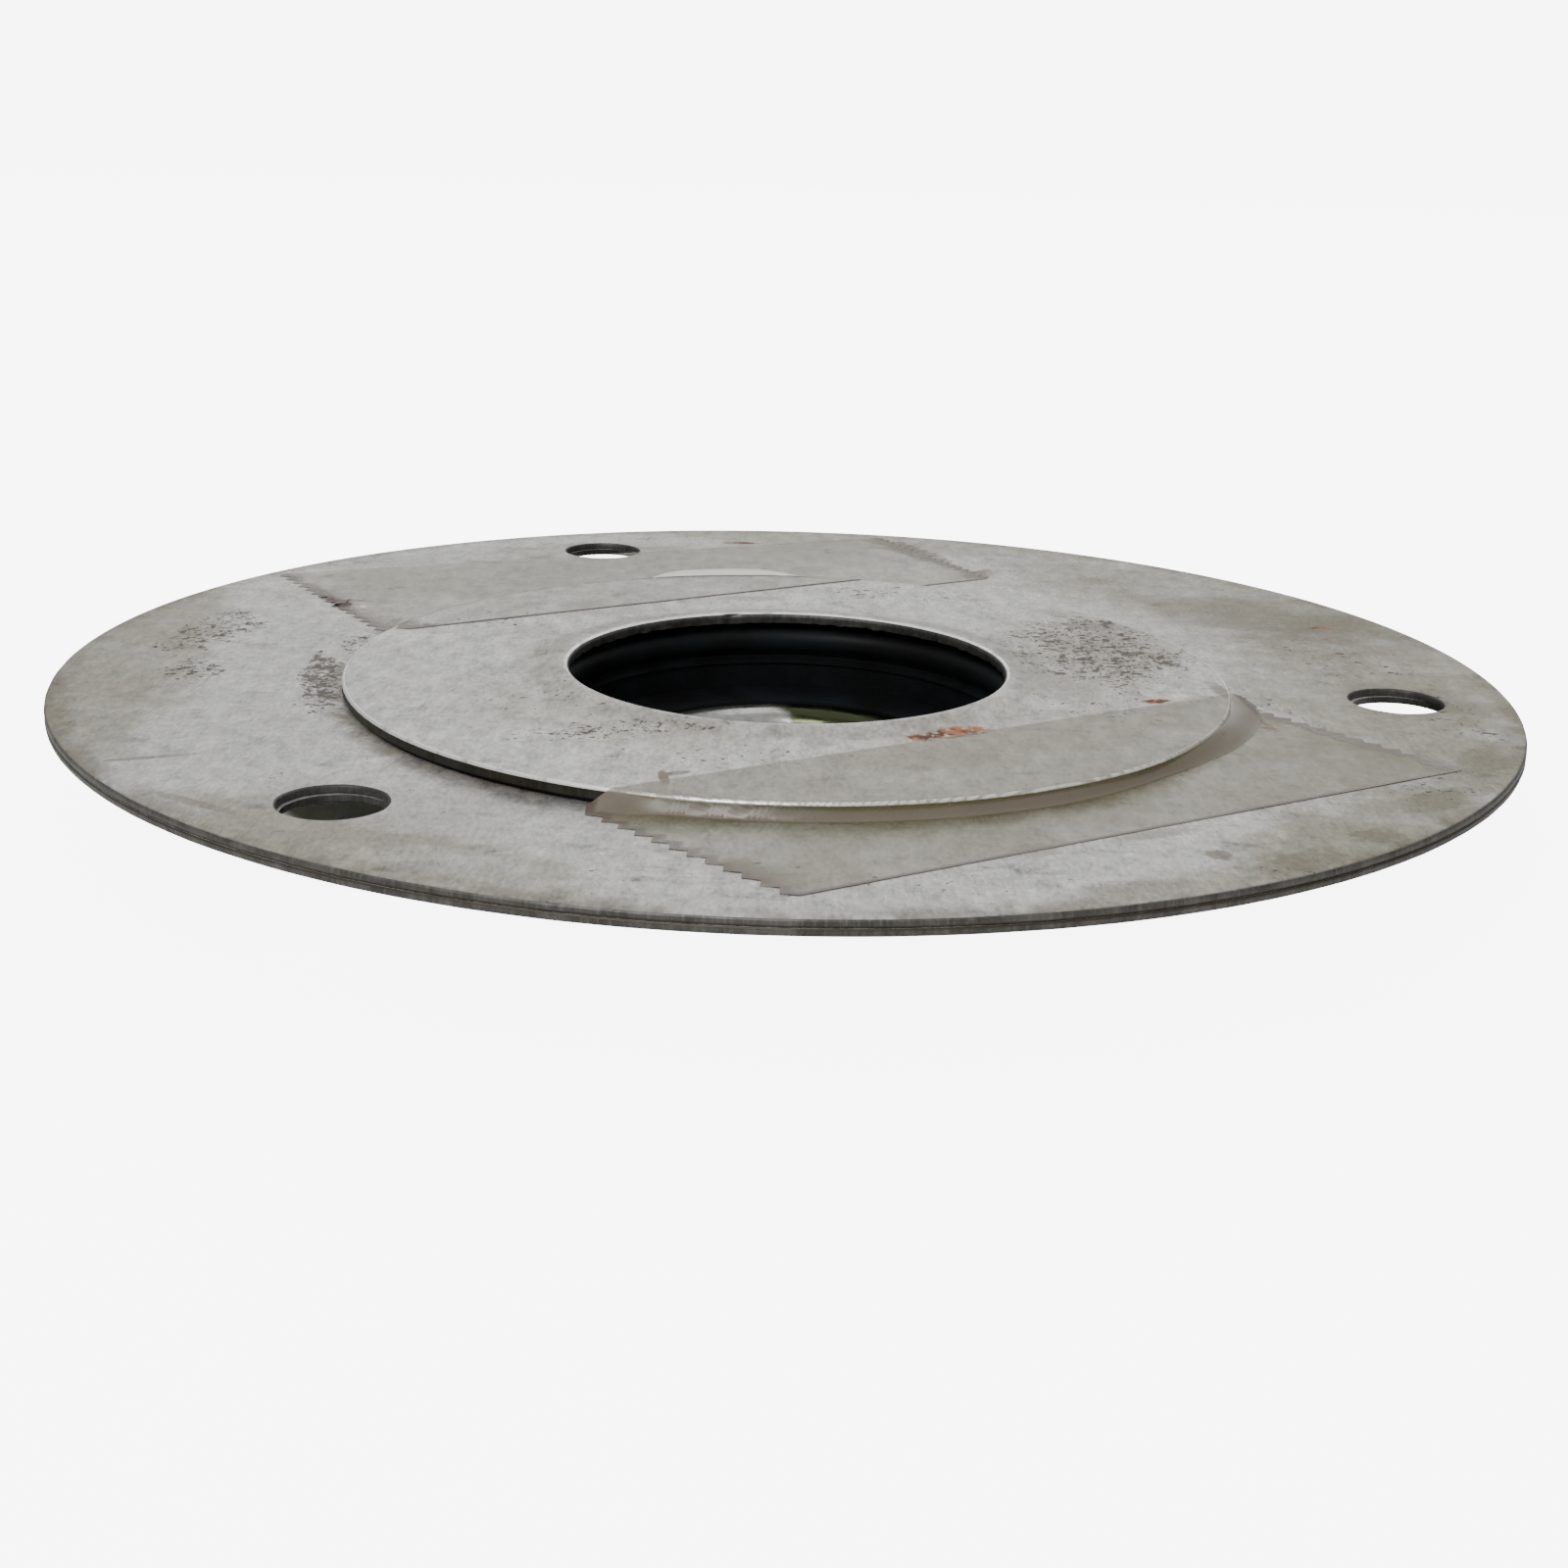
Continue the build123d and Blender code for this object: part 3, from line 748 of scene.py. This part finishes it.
def cover_wobble(angle, radius, height):
    """Rough torn edges inside the opening, one nick, and a fine burr outside."""
    push, lift = 0.0, 0.0
    x, y = cos(angle), sin(angle)
    foot = cover_low.z + rim_rise
    if radius < opening_radius + 0.5 * MM:
        torn = max(0.0, 1 - (height - foot) / (0.8 * MM)) if height > foot - 0.2 * MM else 1.0
        push += torn * 0.28 * MM * max(0.0, 0.3 + noise.noise(Vector((x * 16, y * 16, 1.0))))
        lift += torn * 0.22 * MM * noise.noise(Vector((x * 22, y * 22, 4.0)))
        nick = exp(-((atan2(y, x) - nick_angle) * opening_radius / (1.3 * MM)) ** 2)
        push += nick * 0.7 * MM
        lift -= nick * 0.25 * MM
        push += 0.04 * MM * (1 + noise.noise(Vector((x * 40, y * 40, height * 900))))
    elif radius > cover_radius - 0.3 * MM:
        push -= 0.05 * MM * (1 + noise.noise(Vector((x * 90, y * 90, height * 1500))))
        if height > cover_top - 0.05 * MM:
            lift += 0.04 * MM * noise.noise(Vector((x * 60, y * 60, 9.0)))
    return push, lift


FLAT, OUTER_WALL, OPENING_WALL, CREST = range(4)


def cover_pick(radius, height, normal):
    """The material of one band of the cover ring."""
    if radius > cover_radius - 0.5 * MM and height > cover_top - 0.5 * MM:
        return CREST
    if crest_radius - 0.85 * MM < radius < crest_radius - 0.3 * MM and height > cover_top:
        return CREST
    if abs(normal.x) > 0.6:
        return OUTER_WALL if radius > rim_start else OPENING_WALL
    return FLAT


cover = lathe("cover_skin", cover_outline(), seal_y, [cover_steel, wall_steel, hole_steel, crest_steel],
              cover_pick, cover_wobble, segments=2 * SEGMENTS)
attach(cover, "seal")
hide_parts("cover_ring")


# ---- rubber and the rings below ---------------------------------------------------------------------
for node, material in (("top_gasket", rubber), ("bottom_gasket", rubber), ("seal_sleeve", rubber),
                       ("retaining_washer", washer_steel), ("clamp_band", band_steel),
                       ("bottom_ring", ring_steel)):
    carried = frame["nodes"][node]
    carried.data.materials.clear()
    carried.data.materials.append(material)


# ---- tape -------------------------------------------------------------------------------------------
TOOTH_PITCH = 3.8 * MM
TOOTH_DEPTH = 1.6 * MM
STEPS_PER_TOOTH = 8
LENGTHWISE = 220
FILM_GAP = 0.07 * MM
FILM_THICKNESS = 0.05 * MM


def film_height(x, y, tent):
    """Height of the film over the steel: on the cover ring, down its edge, then on the flange."""
    away = hypot(x, y - seal_y)
    edge = cover_radius - 0.25 * MM
    if away < edge:
        return cover_top
    reach, belly = tent(x, y)
    fall = (away - edge) / reach
    if fall >= 1:
        return flange_top
    drop = fall ** belly
    return cover_top + (flange_top - cover_top) * (drop * 0.75 + smooth(fall) * 0.25)


def front_tent(x, y):
    """Reach and belly of the front strip's fall: it hugs the wall, and puckers near both ends."""
    along = atan2(y - seal_y, x)
    right_end = smooth((along + 0.75) / 0.6)
    left_end = smooth((-1.76 - along) / 0.16)
    reach = (1.3 + 0.6 * grain(along, 0, size=0.3) + 4.5 * right_end + 3.0 * left_end) * MM
    return reach, 0.8 + 0.5 * right_end


def rear_tent(x, y):
    """Reach and belly of the rear strip's fall: it stands off the wall in one shallow pocket."""
    along = atan2(y - seal_y, x)
    pocket = exp(-((along - 1.74) / 0.20) ** 4)
    side = exp(-((along - 2.5) / 0.3) ** 2)
    reach = (2.0 + 0.8 * grain(along, 5, size=0.25) + 16.5 * pocket + 1.5 * side) * MM
    return reach, 0.9 + 1.6 * pocket


def ridge_height(x, y, ridges):
    """Height that small folds add at a point; each is x, y, x, y, width and height in mm."""
    total = 0.0
    for x0, y0, x1, y1, width, height in ridges:
        start, end, here = Vector((x0, y0)) * MM, Vector((x1, y1)) * MM, Vector((x, y))
        run = end - start
        share = (here - start).dot(run) / run.length_squared
        near = start + run * min(1.0, max(0.0, share))
        total += height * MM * exp(-((here - near).length / (width * MM)) ** 2)
    return total


def strip_points(corners, teeth, tent, ridges, seed):
    """Points of a strip's two faces, row by row from the near edge, and each one's (u, v) shares."""
    near_left, near_right, far_right, far_left = corners
    across = teeth * STEPS_PER_TOOTH
    points, shares = [], []
    for layer in (0, 1):
        for i in range(across + 1):
            v = i / across
            start, end = near_left.lerp(far_left, v), near_right.lerp(far_right, v)
            along = (end - start).normalized()
            tooth = TOOTH_DEPTH * (1 - abs(2 * ((v * teeth) % 1.0) - 1))
            ragged = 0.25 * MM * grain(i, 0, size=3.0, seed=seed)
            start = start - along * (tooth + ragged)
            end = end + along * (tooth - ragged)
            for k in range(LENGTHWISE + 1):
                u = k / LENGTHWISE
                x, y = start.lerp(end, u)
                height = film_height(x, y, tent) + FILM_GAP + FILM_THICKNESS * layer
                height += 0.05 * MM * max(0.0, grain(x, y, size=9 * MM, seed=seed + 2.0))
                height += ridge_height(x, y, ridges)
                points.append((x, y, height))
                shares.append((u, v))
    return points, shares


def strip_faces(across):
    """Faces of a strip's two sides and of the rim that joins them, across quads wide."""
    row = LENGTHWISE + 1
    layer_size = row * (across + 1)
    faces = []
    for i in range(across):
        for k in range(LENGTHWISE):
            a = i * row + k
            faces.append((a, a + row, a + row + 1, a + 1))
            b = a + layer_size
            faces.append((b, b + 1, b + row + 1, b + row))
    rim = list(range(row)) + [i * row + LENGTHWISE for i in range(1, across + 1)]
    rim += [across * row + k for k in range(LENGTHWISE - 1, -1, -1)]
    rim += [i * row for i in range(across - 1, 0, -1)]
    for here, there in zip(rim, rim[1:] + rim[:1]):
        faces.append((here, there, there + layer_size, here + layer_size))
    return faces


def tape_strip(name, node, corners, tent, material, seed, ridges):
    """A strip between four corners (mm: near left, near right, far right, far left)."""
    corners = [Vector(corner) * MM for corner in corners]
    length = (corners[1] - corners[0]).length
    width = (corners[3] - corners[0]).length
    teeth = round(width / TOOTH_PITCH)
    points, shares = strip_points(corners, teeth, tent, ridges, seed)
    strip = mesh_object(name, points, strip_faces(teeth * STEPS_PER_TOOTH), [material], crease=60)
    near = [(u * length / MM, v * width / MM) for u, v in shares]
    far = [((1 - u) * length / MM, (1 - v) * width / MM) for u, v in shares]
    for map_name, places in (("near", near), ("far", far)):
        uv_map = strip.data.uv_layers.new(name=map_name)
        for loop in strip.data.loops:
            uv_map.data[loop.index].uv = places[loop.vertex_index]
    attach(strip, "seal")
    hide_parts(node)


FRONT_CORNERS = [(2.4, -118.7), (105.6, -54.6), (77.5, -20.5), (-28.0, -86.1)]
REAR_CORNERS = [(-69.5, 8.5), (42.0, 79.0), (19.4, 121.0), (-104.8, 65.4)]
FRONT_RIDGES = [(68.5, -27.5, 70, -26.5, 1.8, 0.45), (64, -19.5, 75, -17, 0.6, 0.35),
                (70, -15.5, 73, -22, 0.5, 0.3)]
REAR_RIDGES = [(-89, 37, -85, 39, 2.2, 0.45), (-93, 45, -83, 36, 0.7, 0.5), (-90, 33, -84, 41, 0.6, 0.4)]
tape_strip("front_tape", "tape_strip_front", FRONT_CORNERS, front_tent, front_film, 1.0, FRONT_RIDGES)
tape_strip("rear_tape", "tape_strip_rear", REAR_CORNERS, rear_tent, rear_film, 20.0, REAR_RIDGES)


# ---- camera, floor and light ------------------------------------------------------------------------
WHITE = (1, 1, 1, 1)
FLOOR_GLOW = 7.0
FLOOR_SHADE = (0.80, 0.80, 0.79, 1)
FLOOR_PAINTED_SHADOW = (0.42, 0.45, 0.36, 1)
DOME = {"From Min": 0.0, "From Max": 0.7, "To Min": 0.42, "To Max": 0.60}


def add_camera():
    """The eye stands low in front and looks a little below the flange."""
    distance = 3.138 * flange_radius
    rise, dip, tilt = radians(14.38), radians(17.43), radians(1.53)
    camera = bpy.data.objects.new("camera", bpy.data.cameras.new("camera"))
    camera.data.lens = 50.9
    camera.data.sensor_width = 36.0
    camera.data.clip_start = 0.01
    place = Matrix.Translation((0, -distance * cos(rise), flange_top + distance * sin(rise)))
    aim = Euler((radians(90) - dip, 0, 0)).to_matrix().to_4x4()
    camera.matrix_world = place @ aim @ Matrix.Rotation(tilt, 4, "Z")
    bpy.context.scene.collection.objects.link(camera)
    bpy.context.scene.camera = camera


def add_floor():
    """A pale floor far wider than the view, lit up to the eye except under the flange, where no glow and a
    darker colour paint its shadow.
    """
    paint = Paint("floor")
    seen = paint.add("ShaderNodeLightPath").outputs["Is Camera Ray"]
    # clear is 0 in an off-centre disc under the flange, where the floor is painted in shadow.
    clear = paint.ramp(paint.ring_distance(-40 * MM, 0), 52 * MM, 74 * MM)
    glow = paint.times(paint.times(seen, clear), FLOOR_GLOW)
    paint.set(Base_Color=paint.mix(clear, FLOOR_PAINTED_SHADOW, FLOOR_SHADE), Roughness=0.9,
              Emission_Color=WHITE, Emission_Strength=glow)
    bpy.ops.mesh.primitive_circle_add(vertices=96, radius=8.0, fill_type="NGON", location=(0, 0, -0.0001))
    floor = bpy.context.object
    floor.name = "floor"
    floor.data.materials.append(paint.material)


def add_backdrop():
    """A white wall beyond the floor that only the eye sees."""
    paint = Paint("backdrop")
    paint.set(Base_Color=(0, 0, 0, 1), Emission_Color=WHITE, Emission_Strength=FLOOR_GLOW * 1.05)
    bpy.ops.mesh.primitive_cylinder_add(vertices=96, radius=7.9, depth=6.0, end_fill_type="NOTHING",
                                        location=(0, 0, 2.9))
    wall = bpy.context.object
    wall.name = "backdrop"
    wall.data.materials.append(paint.material)
    wall.visible_diffuse = False
    wall.visible_glossy = False
    wall.visible_transmission = False
    wall.visible_shadow = False


def add_world():
    """A studio dome, a little dimmer at the horizon than overhead."""
    world = bpy.data.worlds.new("world")
    world.use_nodes = True
    tree = world.node_tree
    place = tree.nodes.new("ShaderNodeTexCoord")
    parts = tree.nodes.new("ShaderNodeSeparateXYZ")
    dome = tree.nodes.new("ShaderNodeMapRange")
    dome.interpolation_type = "SMOOTHSTEP"
    for key, value in DOME.items():
        dome.inputs[key].default_value = value
    background = tree.nodes["Background"]
    background.inputs["Color"].default_value = WHITE
    tree.links.new(place.outputs["Generated"], parts.inputs[0])
    tree.links.new(parts.outputs["Z"], dome.inputs["Value"])
    tree.links.new(dome.outputs["Result"], background.inputs["Strength"])
    bpy.context.scene.world = world


def add_area(name, place, size, power):
    """A rectangular lamp aimed at the origin."""
    lamp = bpy.data.objects.new(name, bpy.data.lights.new(name, "AREA"))
    lamp.data.shape = "RECTANGLE"
    lamp.data.size, lamp.data.size_y = size
    lamp.data.energy = power
    lamp.location = place
    lamp.rotation_euler = (-Vector(place)).to_track_quat("-Z", "Y").to_euler()
    bpy.context.scene.collection.objects.link(lamp)


add_camera()
add_floor()
add_backdrop()
add_world()
add_area("back", place=(0.2, 2.2, 1.15), size=(2.6, 1.3), power=12)
add_area("key", place=(-0.6, -1.5, 1.6), size=(0.9, 0.7), power=34)
add_area("top", place=(-0.2, 0.4, 1.5), size=(1.4, 1.2), power=4)
